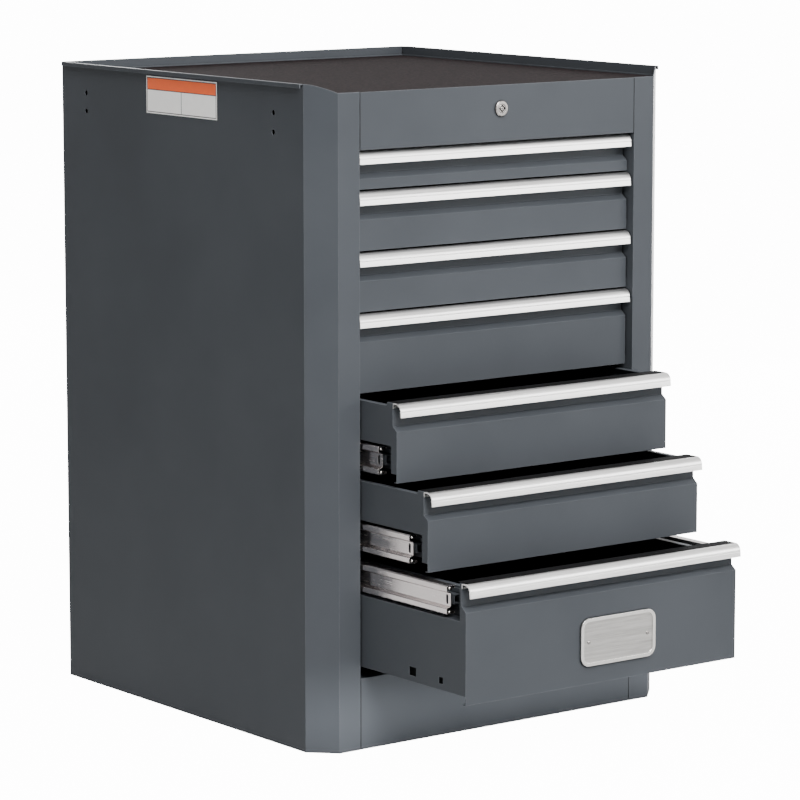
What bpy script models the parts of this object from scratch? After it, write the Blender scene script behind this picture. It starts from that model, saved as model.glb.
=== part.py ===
"""Seven-drawer steel tool cabinet on ball-bearing slides, built from its separate pieces.

Metres, +Z up. The origin is the middle of the base on the floor. The front faces -Y, and +X is to
the right of someone who stands in front of the drawers.
"""
import math

import bmesh
import bpy

# Cabinet body
CABINET_WIDTH = 0.620
CABINET_DEPTH = 0.630
CABINET_HEIGHT = 0.910          # to the top of the side and back walls
SHEET = 0.0012                  # thickness of the painted steel sheet
GAP = 0.0003                    # between pieces that touch
SEAM = 0.0004                   # beside the rail and the kick panel
CORNER_CHAMFER = 0.033          # flat front corners, at 45 degrees
COLUMN_FACE = 0.0355            # flat front of each corner post
COLUMN_RETURN = 0.030           # inner side of each corner post
BACK_FLANGE = 0.012
FRONT_EDGE_DROP = 0.012         # the front's top edge lies this far below the side walls' top
EDGE_CURVE_POWER = 1.5          # shape of the fall from the side wall to the front edge
EDGE_CURVE_STEPS = 8
HEM_REACH = 0.0055              # the rolled hem along the top of each side wall, outward
HEM_DROP = 0.0054               # and down
HEM_START_CLEARANCE = 0.001     # hem's start behind the flat corner
HEM_END_CLEARANCE = 0.007       # hem's end before the back of the cabinet
BACK_HEM_HEIGHT = 0.012
BACK_HEM_THICKNESS = 0.0014
BOLT_HOLE_DIAMETER = 0.0075
BOLT_HOLE_DEPTHS = (0.102, 0.566)       # from the front of the cabinet
BOLT_HOLE_DROPS = (0.042, 0.068)        # from the top of the side wall
LOCK_RAIL_HEIGHT = 0.0774
LOCK_RAIL_RETURN = 0.020
KICK_HEIGHT = 0.0995
KICK_TOP_FLANGE = 0.025
BASE_HEIGHT = 0.103             # bottom of the lowest drawer's space
PAN_FLANGE = 0.030

# Top tray and its mat
TRAY_DEPTH = 0.0045
MAT_THICKNESS = 0.0025
MAT_MARGIN = 0.005

# Drawers, from the top one down
DRAWER_UNITS = (2, 3, 3, 4, 4, 4, 6)
DRAWER_OPENINGS = (0, 0, 0, 0, 0.090, 0.158, 0.2395)
DRAWER_SIDE_GAP = 0.003
DRAWER_TOP_GAP = 0.0016
DRAWER_BOTTOM_GAP = 0.001
DRAWER_REAR_GAP = 0.0303        # behind the box, to the back panel
FACE_SETBACK = 0.012            # drawer faces lie behind the cabinet's front
FRONT_DEPTH = 0.022             # of a drawer's double-skin front
FRONT_END_DEPTH = 0.013         # of the front beside the slides
FRONT_HEM = 0.0045              # folded back from the front's bottom edge
RECESS_DEPTH = 0.009            # under the pull
RECESS_HEIGHT = 0.031
RECESS_SLOPE = 0.0073
FLOOR_LIFT = 0.012
WALL_DROP = 0.0045              # from the front's top to the box's top
DEEP_WALL_DROP = 0.011
WALL_RETURN = 0.007
LINER_THICKNESS = 0.0015
LINER_MARGIN = 0.001
DEEP_HOLE_DEPTHS = (0.1146, 0.0534)     # square holes in the deep drawer's walls, from its face
DEEP_HOLE_HEIGHTS = (0.026, 0.025)
DEEP_HOLE_SIZES = ((0.015, 0.012), (0.009, 0.009))

# Pulls
PULL_SHEET = 0.0016
PULL_NOSE_RADIUS = 0.008
PULL_NOSE_STEPS = 6
PULL_REACH = 0.009              # nose in front of the drawer's face
PULL_LIP_DROP = 0.018
PULL_LIP_SLANT = 0.0006
PULL_BACK_DROP = 0.007          # hook behind the top edge of the recess

# Ball-bearing slides
SLIDE_SETBACK = 0.040           # front end behind the drawer's face
SLIDE_REAR_GAP = 0.0253         # to the back panel
SLIDE_HEIGHT = 0.046
SLIDE_SHEET = 0.0015
SLIDE_LIP = 0.0012
SLIDE_REACH = 0.0098            # cabinet member's flanges
SLIDE_CLEARANCE = 0.0008        # around the members, up and down
SLIDE_SIDE_CLEARANCE = 0.0011
SLIDE_LIFT = 0.0025             # cabinet member above the drawer's lower edge
DEEP_SLIDE_DROP = 0.0278        # slide's middle below the deep drawer's top
POCKET_DEPTH = 0.022            # the box steps in this far beside the slides
MIDDLE_SHEET = 0.0012
MIDDLE_END_GAP = 0.0086         # middle member's inner edge to the box
MIDDLE_LIP = 0.0034
MIDDLE_BEND = 0.0012
MIDDLE_RACE_HEIGHT = 0.0067     # each of its two raised bands
MIDDLE_SLOT_LENGTH = 0.0045
MIDDLE_SLOT_HEIGHT = 0.013
MIDDLE_SLOT_SETBACK = 0.0075
HAT_SHEET = 0.0014
HAT_DEPTH = 0.0102              # drawer member's crown off the box
HAT_CROWN_HEIGHT = 0.013
HAT_BRIM_HEIGHT = 0.027
BALL_SPACE = 0.0045             # between the crown and the middle member's web
HAT_END_GAP = 0.002
RACK_SHEET = 0.0012
RACK_TOP_GAP = 0.0123           # below the tray
RACK_CLEARANCE = 0.002          # above the bottom pan's flanges
RACK_REAR_GAP = 0.0173
RACK_LEAD = 0.001               # rack's front flange past the slides' front end
WELD = 0.0003                   # how deep a welded member sinks into its carrier

# Lock
LOCK_DROP = 0.0324              # axis below the front's top edge
BEZEL_DIAMETER = 0.022
BEZEL_HEIGHT = 0.003
BEZEL_CHAMFER = 0.001
BARREL_DIAMETER = 0.019
BARREL_LENGTH = 0.015
NUT_FLATS = 0.024
NUT_THICKNESS = 0.004
CORE_DIAMETER = 0.012
CORE_LENGTH = 0.0367
KEYWAY_DIAMETERS = (0.0044, 0.0076)
KEYWAY_DEPTH = 0.006
KEY_NOTCH_WIDTH = 0.0014
KEY_NOTCH_HEIGHT = 0.0018
CAM_THICKNESS = 0.002
CAM_HUB_RADIUS = 0.008
CAM_RADIUS = 0.010              # peg's distance from the axis, and the bar's travel
PEG_DIAMETER = 0.004
PEG_LENGTH = 0.005
PEG_SLACK = 0.0024              # sideways play of the peg in the bar's slot
PEG_END_SLACK = 0.0006
BAR_THICKNESS = 0.002
BAR_HEIGHT = 0.024
BAR_ABOVE_AXIS = 0.0064
BAR_START = 0.020
BAR_LEG_OUTSET = 0.0135         # leg outside the drawer opening
BAR_LEG_WIDTH = 0.015
FINGER_LENGTH = 0.0055
FINGER_HEIGHT = 0.005
FINGER_DROP = 0.0045            # below each drawer's top
BAR_END_DROP = 0.010
BAR_CLEARANCE = 0.002           # from the cam to the bar

# Label on the left wall and badge on the deep drawer
LABEL_WIDTH = 0.174
LABEL_HEIGHT = 0.052
LABEL_THICKNESS = 0.0004
LABEL_DEPTH = 0.321             # its middle, from the front of the cabinet
LABEL_DROP = 0.0345             # its middle, from the top of the side wall
BADGE_WIDTH = 0.132
BADGE_HEIGHT = 0.066
BADGE_THICKNESS = 0.0032
BADGE_BORDER = 0.005
BADGE_HOLLOW = 0.0014
BADGE_CORNER = 0.014
BADGE_OFFSET = 0.023            # to the right of the drawer's middle
BADGE_LIFT = 0.058              # above the drawer's lower edge

ROUND_STEPS = 24
CORNER_STEPS = 5
SMOOTH_ANGLE = math.radians(35)
OVERCUT = 0.010                 # cutters run past the faces that they cut

# Places that follow from the sizes
SIDE = CABINET_WIDTH / 2
FRONT = -CABINET_DEPTH / 2
BACK = CABINET_DEPTH / 2
FRONT_TOP = CABINET_HEIGHT - FRONT_EDGE_DROP
CORNER_START = FRONT + CORNER_CHAMFER
OPENING_SIDE = SIDE - CORNER_CHAMFER - COLUMN_FACE
RETURN_END = FRONT + COLUMN_RETURN
BACK_PANEL_REAR = BACK - SHEET - GAP
BACK_PANEL_FRONT = BACK_PANEL_REAR - SHEET
TRAY_FLOOR = FRONT_TOP - TRAY_DEPTH
DRAWER_SPACE_TOP = FRONT_TOP - LOCK_RAIL_HEIGHT
UNIT = (DRAWER_SPACE_TOP - BASE_HEIGHT) / sum(DRAWER_UNITS)
FACE = FRONT + FACE_SETBACK
DRAWER_SIDE = OPENING_SIDE - DRAWER_SIDE_GAP
DRAWER_LENGTH = BACK_PANEL_FRONT - DRAWER_REAR_GAP - FACE
POCKET_SIDE = DRAWER_SIDE - POCKET_DEPTH
SLIDE_FRONT = FACE + SLIDE_SETBACK
SLIDE_REAR = BACK_PANEL_FRONT - SLIDE_REAR_GAP
MIDDLE_HEIGHT = SLIDE_HEIGHT - 2 * (SLIDE_SHEET + SLIDE_LIP + SLIDE_CLEARANCE)
MIDDLE_OUTER = OPENING_SIDE + WELD - SLIDE_SHEET - SLIDE_SIDE_CLEARANCE
LOCK_AXIS = FRONT_TOP - LOCK_DROP
LOCK_FACE = FRONT - GAP - BEZEL_HEIGHT
CAM_FRONT = LOCK_FACE + CORE_LENGTH + GAP
BAR_FRONT = CAM_FRONT + CAM_THICKNESS + BAR_CLEARANCE


# Drawing helpers

def new_object(name, vertices, faces):
    mesh = bpy.data.meshes.new(name)
    mesh.from_pydata(vertices, [], faces)
    shape = bmesh.new()
    shape.from_mesh(mesh)
    bmesh.ops.recalc_face_normals(shape, faces=shape.faces)
    shape.to_mesh(mesh)
    shape.free()
    made = bpy.data.objects.new(name, mesh)
    bpy.context.collection.objects.link(made)
    return made


def prism(name, outline, axis, low, high):
    """Extrude an outline, drawn as (y, z), (x, z) or (x, y), along the X, Y or Z axis."""
    place = {
        'X': lambda u, v, along: (along, u, v),
        'Y': lambda u, v, along: (u, along, v),
        'Z': lambda u, v, along: (u, v, along),
    }[axis]
    count = len(outline)
    vertices = [place(u, v, low) for u, v in outline]
    vertices += [place(u, v, high) for u, v in outline]
    faces = [list(range(count)), list(range(count, 2 * count))]
    for i in range(count):
        after = (i + 1) % count
        faces.append([i, after, after + count, i + count])
    return new_object(name, vertices, faces)


def rectangle(low_u, low_v, high_u, high_v):
    return [(low_u, low_v), (high_u, low_v), (high_u, high_v), (low_u, high_v)]


def box(name, low, high):
    return prism(name, rectangle(low[0], low[1], high[0], high[1]), 'Z', low[2], high[2])


def arc(centre, radius, start, end, steps):
    """Points along an arc, with its angles in degrees."""
    points = []
    for i in range(steps + 1):
        angle = math.radians(start + (end - start) * i / steps)
        points.append((centre[0] + radius * math.cos(angle), centre[1] + radius * math.sin(angle)))
    return points


def circle(centre, radius, steps=ROUND_STEPS):
    half_step = 180 / steps
    return arc(centre, radius, half_step, half_step + 360, steps)[:-1]


def rounded_rectangle(low_u, low_v, high_u, high_v, radius):
    corners = (
        (high_u - radius, high_v - radius, 0),
        (low_u + radius, high_v - radius, 90),
        (low_u + radius, low_v + radius, 180),
        (high_u - radius, low_v + radius, 270),
    )
    points = []
    for u, v, start in corners:
        points += arc((u, v), radius, start, start + 90, CORNER_STEPS)
    return points


def left_normal(start, end):
    length = math.dist(start, end)
    return (start[1] - end[1]) / length, (end[0] - start[0]) / length


def offset_path(path, distance, closed=False):
    """The path moved sideways to its left by the distance, with mitred corners."""
    moved = []
    last = len(path) - 1
    for i, point in enumerate(path):
        normals = []
        if closed or i > 0:
            normals.append(left_normal(path[i - 1], point))
        if closed or i < last:
            normals.append(left_normal(point, path[(i + 1) % len(path)]))
        first = normals[0]
        second = normals[-1]
        mitre = distance / (1 + first[0] * second[0] + first[1] * second[1])
        moved.append((point[0] + (first[0] + second[0]) * mitre, point[1] + (first[1] + second[1]) * mitre))
    return moved


def bent_sheet(path, thickness):
    """Outline of a sheet whose one side follows the path and whose body lies on its left."""
    return list(path) + offset_path(path, thickness)[::-1]


def mirrored(outline, side):
    """An outline drawn for the right side, placed on the side given by +1 or -1."""
    return [(side * u, v) for u, v in outline]


def turned(name, profile, centre_x, centre_z):
    """Turn a closed profile of (radius, y) points around an axis along Y."""
    count = len(profile)
    vertices = []
    for i in range(ROUND_STEPS):
        angle = 2 * math.pi * i / ROUND_STEPS
        for radius, y in profile:
            vertices.append((centre_x + radius * math.cos(angle), y, centre_z + radius * math.sin(angle)))
    faces = []
    for i in range(ROUND_STEPS):
        ring = i * count
        next_ring = (i + 1) % ROUND_STEPS * count
        for j in range(count):
            after = (j + 1) % count
            faces.append([ring + j, ring + after, next_ring + after, next_ring + j])
    return new_object(name, vertices, faces)


def combine(target, tool, operation):
    """Apply a Boolean to the target's mesh and remove the tool."""
    modifier = target.modifiers.new(operation, 'BOOLEAN')
    modifier.operation = operation
    modifier.solver = 'EXACT'
    modifier.object = tool
    bpy.context.view_layer.update()
    evaluated = target.evaluated_get(bpy.context.evaluated_depsgraph_get())
    mesh = bpy.data.meshes.new_from_object(evaluated)
    target.modifiers.clear()
    old = target.data
    target.data = mesh
    bpy.data.meshes.remove(old)
    bpy.data.objects.remove(tool)


def cut(target, tool):
    combine(target, tool, 'DIFFERENCE')


def join(target, tool):
    combine(target, tool, 'UNION')


def smooth(target):
    target.data.shade_smooth()
    target.data.set_sharp_from_angle(angle=SMOOTH_ANGLE)


def place_empty(name, location):
    empty = bpy.data.objects.new(name, None)
    empty.empty_display_size = 0.05
    empty.location = location
    bpy.context.collection.objects.link(empty)
    return empty


def finish(name, colour, roughness, metallic):
    """A Principled material from an 8-bit display colour."""
    made = bpy.data.materials.new(name)
    made.use_nodes = True
    shader = made.node_tree.nodes['Principled BSDF']
    linear = [((value / 255 + 0.055) / 1.055) ** 2.4 for value in colour]
    shader.inputs['Base Color'].default_value = (*linear, 1)
    shader.inputs['Roughness'].default_value = roughness
    shader.inputs['Metallic'].default_value = metallic
    return made


def paint(target, material):
    target.data.materials.clear()
    target.data.materials.append(material)


# Cabinet body

def cabinet_plan(back):
    """Outer plan of the cabinet with its flat front corners, ended at the given back."""
    return [
        (-SIDE, back),
        (-SIDE, CORNER_START),
        (-SIDE + CORNER_CHAMFER, FRONT),
        (SIDE - CORNER_CHAMFER, FRONT),
        (SIDE, CORNER_START),
        (SIDE, back),
    ]


def inner_plan(distance):
    """The cabinet's plan moved in by the distance, and kept clear of the back panel."""
    back = BACK_PANEL_FRONT - GAP + distance
    return offset_path(cabinet_plan(back), distance, closed=True)


def side_panel(name, side):
    """Side wall, back flange, flat corner, post face and post return, bent from one sheet."""
    path = [
        (SIDE - BACK_FLANGE, BACK),
        (SIDE, BACK),
        (SIDE, CORNER_START),
        (SIDE - CORNER_CHAMFER, FRONT),
        (OPENING_SIDE, FRONT),
        (OPENING_SIDE, RETURN_END),
    ]
    panel = prism(name, mirrored(bent_sheet(path, -SHEET), side), 'Z', 0, CABINET_HEIGHT)

    # Rolled hem along the top.
    hem_outer = SIDE + HEM_REACH
    path = [
        (SIDE - SHEET / 2, CABINET_HEIGHT),
        (hem_outer, CABINET_HEIGHT),
        (hem_outer, CABINET_HEIGHT - HEM_DROP),
    ]
    start = CORNER_START + HEM_START_CLEARANCE
    end = BACK - HEM_END_CLEARANCE
    join(panel, prism('hem', mirrored(bent_sheet(path, -SHEET), side), 'Y', start, end))

    # The top edge falls in a curve across the flat corner to the front edge.
    fall = []
    for i in range(EDGE_CURVE_STEPS + 1):
        share = i / EDGE_CURVE_STEPS
        height = CABINET_HEIGHT - FRONT_EDGE_DROP * share ** EDGE_CURVE_POWER
        fall.append((CORNER_START - CORNER_CHAMFER * share, height))
    above = CABINET_HEIGHT + OVERCUT
    outline = fall + [(FRONT - OVERCUT, FRONT_TOP), (FRONT - OVERCUT, above), (CORNER_START, above)]
    cut(panel, prism('edge_cutter', outline, 'X', -SIDE - OVERCUT, SIDE + OVERCUT))

    # The post's return stops under the tray.
    return_top = TRAY_FLOOR - SHEET - GAP
    outline = rectangle(OPENING_SIDE - SHEET, FRONT + SHEET, OPENING_SIDE + SHEET + GAP, CORNER_START)
    cut(panel, prism('return_cutter', mirrored(outline, side), 'Z', return_top, above))

    for depth in BOLT_HOLE_DEPTHS:
        for drop in BOLT_HOLE_DROPS:
            outline = circle((FRONT + depth, CABINET_HEIGHT - drop), BOLT_HOLE_DIAMETER / 2)
            ends = sorted((side * (SIDE - OVERCUT), side * (SIDE + OVERCUT)))
            cut(panel, prism('bolt_hole', outline, 'X', *ends))
    return panel


def back_panel():
    across = SIDE - SHEET - GAP
    bottom = SHEET + GAP
    panel = box('back_panel', (-across, BACK_PANEL_FRONT, bottom), (across, BACK_PANEL_REAR, CABINET_HEIGHT))
    hem_side = SIDE - BACK_FLANGE - GAP
    hem_bottom = CABINET_HEIGHT - BACK_HEM_HEIGHT
    hem_front = BACK_PANEL_REAR - SHEET / 2
    hem_rear = BACK_PANEL_REAR + BACK_HEM_THICKNESS
    hem = box('hem', (-hem_side, hem_front, hem_bottom), (hem_side, hem_rear, CABINET_HEIGHT))
    join(panel, hem)
    return panel


def bottom_pan():
    across = SIDE - SHEET - GAP
    path = [(-across, PAN_FLANGE), (-across, 0), (across, 0), (across, PAN_FLANGE)]
    return prism('bottom_pan', bent_sheet(path, SHEET), 'Y', CORNER_START + SHEET, BACK_PANEL_FRONT - GAP)


def lock_rail():
    across = OPENING_SIDE - SEAM
    path = [
        (FRONT, FRONT_TOP),
        (FRONT, DRAWER_SPACE_TOP),
        (FRONT + LOCK_RAIL_RETURN, DRAWER_SPACE_TOP),
    ]
    rail = prism('lock_rail', bent_sheet(path, SHEET), 'X', -across, across)
    hole = circle((0, LOCK_AXIS), BARREL_DIAMETER / 2 + GAP)
    cut(rail, prism('lock_hole', hole, 'Y', FRONT - OVERCUT, FRONT + OVERCUT))
    return rail


def kick_panel():
    across = OPENING_SIDE - SEAM
    path = [
        (FRONT + KICK_TOP_FLANGE, KICK_HEIGHT),
        (FRONT, KICK_HEIGHT),
        (FRONT, 0),
        (CORNER_START + SHEET - GAP, 0),
    ]
    return prism('kick_panel', bent_sheet(path, SHEET), 'X', -across, across)


def top_tray():
    outer = inner_plan(SHEET + GAP)
    inner = offset_path(outer, SHEET, closed=True)
    tray = prism('top_tray', outer, 'Z', TRAY_FLOOR - SHEET, FRONT_TOP)
    cut(tray, prism('tray_hollow', inner, 'Z', TRAY_FLOOR, FRONT_TOP + OVERCUT))
    return tray


def top_mat():
    rim = inner_plan(2 * SHEET + GAP)
    plan = offset_path(rim, MAT_MARGIN, closed=True)
    bottom = TRAY_FLOOR + GAP
    return prism('top_mat', plan, 'Z', bottom, bottom + MAT_THICKNESS)


# Drawers: each is drawn around its own empty, which lies on the face's plane at its lower edge

def drawer_layout(index):
    """Sizes of one drawer: its lower edge, height, slide's middle and whether it is the deep one."""
    units_above = sum(DRAWER_UNITS[:index + 1])
    bottom = DRAWER_SPACE_TOP - UNIT * units_above + DRAWER_BOTTOM_GAP
    height = UNIT * DRAWER_UNITS[index] - DRAWER_TOP_GAP - DRAWER_BOTTOM_GAP
    deep = index == len(DRAWER_UNITS) - 1
    if deep:
        slide = height - DEEP_SLIDE_DROP
    else:
        slide = SLIDE_LIFT + SLIDE_HEIGHT / 2
    return bottom, height, slide, deep


def cavity_outline(height, slide, deep):
    """Inside of the box in X and Z, narrower beside the slides and under the top returns."""
    wide = DRAWER_SIDE - SHEET
    narrow = POCKET_SIDE - SHEET
    reach = SLIDE_HEIGHT / 2 + SLIDE_CLEARANCE
    floor = FLOOR_LIFT + SHEET
    wall_top = height - (DEEP_WALL_DROP if deep else WALL_DROP)
    if deep:
        step = slide - reach - SHEET
        half = [(wide, floor), (wide, step), (narrow, step)]
        upper = narrow
    elif slide + reach + SHEET < wall_top - SHEET:
        step = slide + reach + SHEET
        half = [(narrow, floor), (narrow, step), (wide, step)]
        upper = wide
    else:
        half = [(narrow, floor)]
        upper = narrow
    half += [(upper, wall_top - SHEET), (upper - WALL_RETURN, wall_top - SHEET)]
    half += [(upper - WALL_RETURN, height + OVERCUT)]
    return half + [(-x, z) for x, z in reversed(half)]


def hat_outline(slide):
    """Drawer member in X and Z: a brim against the box and a crown that faces the cabinet."""
    inner = POCKET_SIDE - WELD
    brim = inner + HAT_SHEET
    crown = POCKET_SIDE + HAT_DEPTH
    brim_reach = HAT_BRIM_HEIGHT / 2
    crown_reach = HAT_CROWN_HEIGHT / 2
    half = [
        (inner, crown_reach - HAT_SHEET),
        (inner, brim_reach),
        (brim, brim_reach),
        (brim, crown_reach),
        (crown, crown_reach),
    ]
    inside = [(crown - HAT_SHEET, crown_reach - HAT_SHEET), (crown - HAT_SHEET, HAT_SHEET - crown_reach)]
    outline = half + [(x, -z) for x, z in reversed(half)] + inside[::-1]
    return [(x, slide + z) for x, z in outline]


def drawer_box(name, index):
    bottom, height, slide, deep = drawer_layout(index)
    wall_top = height - (DEEP_WALL_DROP if deep else WALL_DROP)
    slope_end = height - RECESS_HEIGHT - RECESS_SLOPE
    profile = [
        (RECESS_DEPTH, height),
        (RECESS_DEPTH, height - RECESS_HEIGHT),
        (0, slope_end),
        (0, 0),
        (FRONT_DEPTH, 0),
        (FRONT_DEPTH, FLOOR_LIFT),
        (DRAWER_LENGTH, FLOOR_LIFT),
        (DRAWER_LENGTH, wall_top),
        (FRONT_DEPTH, wall_top),
        (FRONT_DEPTH, height),
    ]
    body = prism(name, profile, 'X', -DRAWER_SIDE, DRAWER_SIDE)

    # Pockets for the slides: open at the bottom, and open at the top on the deep drawer.
    reach = SLIDE_HEIGHT / 2 + SLIDE_CLEARANCE
    if deep:
        low, high = slide - reach, height + OVERCUT
    else:
        low, high = -OVERCUT, slide + reach
    if not deep and high > wall_top - 2 * SHEET:
        high = wall_top + SHEET
    for side in (-1, 1):
        ends = sorted((side * POCKET_SIDE, side * (DRAWER_SIDE + OVERCUT)))
        rear = DRAWER_LENGTH + OVERCUT
        cut(body, box('pocket', (ends[0], FRONT_END_DEPTH, low), (ends[1], rear, high)))

    inside = cavity_outline(height, slide, deep)
    cut(body, prism('cavity', inside, 'Y', FRONT_DEPTH, DRAWER_LENGTH - SHEET))

    # The front is two skins with a hollow between them that is open underneath.
    wide = DRAWER_SIDE - SHEET
    narrow = POCKET_SIDE - SHEET
    plan = [
        (wide, SHEET),
        (wide, FRONT_END_DEPTH - SHEET),
        (narrow, FRONT_END_DEPTH - SHEET),
        (narrow, FRONT_DEPTH - SHEET),
    ]
    plan = plan + [(-x, y) for x, y in reversed(plan)]
    cut(body, prism('lower_hollow', plan, 'Z', -OVERCUT, slope_end - SHEET))

    # Under the floor the front's ends are a single skin, and its bottom edge is folded back.
    for side in (-1, 1):
        ends = sorted((side * POCKET_SIDE, side * (DRAWER_SIDE + OVERCUT)))
        cut(body, box('end_notch', (ends[0], SHEET, -OVERCUT), (ends[1], FRONT_DEPTH + OVERCUT, FLOOR_LIFT)))
    join(body, box('hem', (-DRAWER_SIDE, SHEET / 2, 0), (DRAWER_SIDE, SHEET + FRONT_HEM, SHEET)))

    # Behind the recess the hollow is narrower.
    low = (-narrow, RECESS_DEPTH + SHEET, slope_end - 2 * SHEET)
    high = (narrow, FRONT_DEPTH - SHEET, height - SHEET)
    cut(body, box('upper_hollow', low, high))

    for side in (-1, 1):
        outline = mirrored(hat_outline(slide), side)
        join(body, prism('hat', outline, 'Y', SLIDE_SETBACK, DRAWER_LENGTH - HAT_END_GAP))

    if deep:
        for depth, lift, size in zip(DEEP_HOLE_DEPTHS, DEEP_HOLE_HEIGHTS, DEEP_HOLE_SIZES):
            outline = rectangle(depth - size[0] / 2, lift - size[1] / 2, depth + size[0] / 2, lift + size[1] / 2)
            cut(body, prism('wall_hole', outline, 'X', -DRAWER_SIDE - OVERCUT, DRAWER_SIDE + OVERCUT))
    return body


def drawer_liner(name, index):
    deep = drawer_layout(index)[3]
    across = (DRAWER_SIDE if deep else POCKET_SIDE) - SHEET - LINER_MARGIN
    bottom = FLOOR_LIFT + SHEET + GAP
    low = (-across, FRONT_DEPTH + LINER_MARGIN, bottom)
    high = (across, DRAWER_LENGTH - SHEET - LINER_MARGIN, bottom + LINER_THICKNESS)
    return box(name, low, high)


def drawer_pull(name, index):
    """Full-width extrusion: short back leg in the recess, top plate, round nose and front lip."""
    height = drawer_layout(index)[1]
    nose_back = PULL_NOSE_RADIUS - PULL_REACH
    plate = RECESS_DEPTH - GAP
    path = [(plate, height - PULL_BACK_DROP), (plate, height)]
    path += arc((nose_back, height - PULL_NOSE_RADIUS), PULL_NOSE_RADIUS, 90, 180, PULL_NOSE_STEPS)
    path += [(-PULL_REACH - PULL_LIP_SLANT, height - PULL_LIP_DROP)]
    pull = prism(name, bent_sheet(path, PULL_SHEET), 'X', -DRAWER_SIDE, DRAWER_SIDE)
    smooth(pull)
    return pull


def middle_outline(slide):
    """Middle member in X and Z: lips, two raised bands that hold the balls, and a sunk web."""
    half_sheet = MIDDLE_SHEET / 2
    outer = MIDDLE_OUTER - half_sheet
    inner = POCKET_SIDE + MIDDLE_END_GAP + half_sheet
    web = POCKET_SIDE + HAT_DEPTH + BALL_SPACE + half_sheet
    top = MIDDLE_HEIGHT / 2 - half_sheet
    band_end = top - MIDDLE_RACE_HEIGHT
    half = [
        (inner, top - MIDDLE_LIP),
        (inner, top),
        (outer - MIDDLE_BEND, top),
        (outer, top - MIDDLE_BEND),
        (outer, band_end),
        (outer - MIDDLE_BEND, band_end - MIDDLE_BEND),
        (web + MIDDLE_BEND, band_end - 2 * MIDDLE_BEND),
        (web, band_end - 3 * MIDDLE_BEND),
    ]
    path = half + [(x, -z) for x, z in reversed(half)]
    one_side = offset_path(path, half_sheet)
    other_side = offset_path(path, -half_sheet)
    return [(x, slide + z) for x, z in one_side + other_side[::-1]]


def middle_member(name, index, side):
    slide = drawer_layout(index)[2]
    length = SLIDE_REAR - SLIDE_FRONT
    member = prism(name, mirrored(middle_outline(slide), side), 'Y', SLIDE_SETBACK, SLIDE_SETBACK + length)
    middle = SLIDE_SETBACK + MIDDLE_SLOT_SETBACK
    half_length = MIDDLE_SLOT_LENGTH / 2
    half_height = MIDDLE_SLOT_HEIGHT / 2
    slot = rounded_rectangle(
        middle - half_length, slide - half_height, middle + half_length, slide + half_height, half_length * 0.9)
    ends = sorted((side * POCKET_SIDE, side * DRAWER_SIDE))
    cut(member, prism('member_slot', slot, 'X', *ends))
    return member


def slide_rack(name, side):
    """Inner wall of the cabinet with the cabinet members of one side welded to it."""
    front = SLIDE_FRONT + RACK_LEAD
    rear = BACK_PANEL_FRONT - RACK_REAR_GAP
    outer = SIDE - SHEET - GAP
    path = [(outer, front), (OPENING_SIDE, front), (OPENING_SIDE, rear), (outer, rear)]
    low = PAN_FLANGE + RACK_CLEARANCE
    high = TRAY_FLOOR - SHEET - RACK_TOP_GAP
    rack = prism(name, mirrored(bent_sheet(path, -RACK_SHEET), side), 'Z', low, high)
    web = OPENING_SIDE + WELD
    edge = web - SLIDE_REACH
    reach = SLIDE_HEIGHT / 2
    for index in range(len(DRAWER_UNITS)):
        bottom, height, slide, deep = drawer_layout(index)
        middle = bottom + slide
        half = [(edge, reach - SLIDE_SHEET - SLIDE_LIP), (edge, reach), (web, reach)]
        path = half + [(x, -z) for x, z in reversed(half)]
        outline = [(x, middle + z) for x, z in bent_sheet(path, -SLIDE_SHEET)]
        join(rack, prism('cabinet_member', mirrored(outline, side), 'Y', SLIDE_FRONT, SLIDE_REAR))
    return rack


def badge(name):
    """Plain plate with a raised border."""
    front = -GAP - BADGE_THICKNESS
    low_x = BADGE_OFFSET - BADGE_WIDTH / 2
    high_x = BADGE_OFFSET + BADGE_WIDTH / 2
    low_z = BADGE_LIFT - BADGE_HEIGHT / 2
    high_z = BADGE_LIFT + BADGE_HEIGHT / 2
    plate = prism(name, rounded_rectangle(low_x, low_z, high_x, high_z, BADGE_CORNER), 'Y', front, -GAP)
    inset = BADGE_BORDER
    hollow = rounded_rectangle(
        low_x + inset, low_z + inset, high_x - inset, high_z - inset, BADGE_CORNER - inset)
    cut(plate, prism('badge_hollow', hollow, 'Y', front - OVERCUT, front + BADGE_HOLLOW))
    return plate


# Lock

def lock_housing():
    bore = CORE_DIAMETER / 2 + GAP
    rim = BEZEL_DIAMETER / 2
    barrel = BARREL_DIAMETER / 2
    profile = [
        (bore, LOCK_FACE),
        (rim - BEZEL_CHAMFER, LOCK_FACE),
        (rim, LOCK_FACE + BEZEL_CHAMFER),
        (rim, FRONT - GAP),
        (barrel, FRONT - GAP),
        (barrel, FRONT + BARREL_LENGTH),
        (bore, FRONT + BARREL_LENGTH),
    ]
    housing = turned('lock_housing', profile, 0, LOCK_AXIS)
    smooth(housing)
    return housing


def lock_nut():
    front = FRONT + SHEET + GAP
    corner = NUT_FLATS / math.sqrt(3)
    nut = prism('lock_nut', circle((0, LOCK_AXIS), corner, 6), 'Y', front, front + NUT_THICKNESS)
    bore = circle((0, LOCK_AXIS), BARREL_DIAMETER / 2 + GAP)
    cut(nut, prism('nut_bore', bore, 'Y', front - OVERCUT, front + OVERCUT))
    return nut


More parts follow.
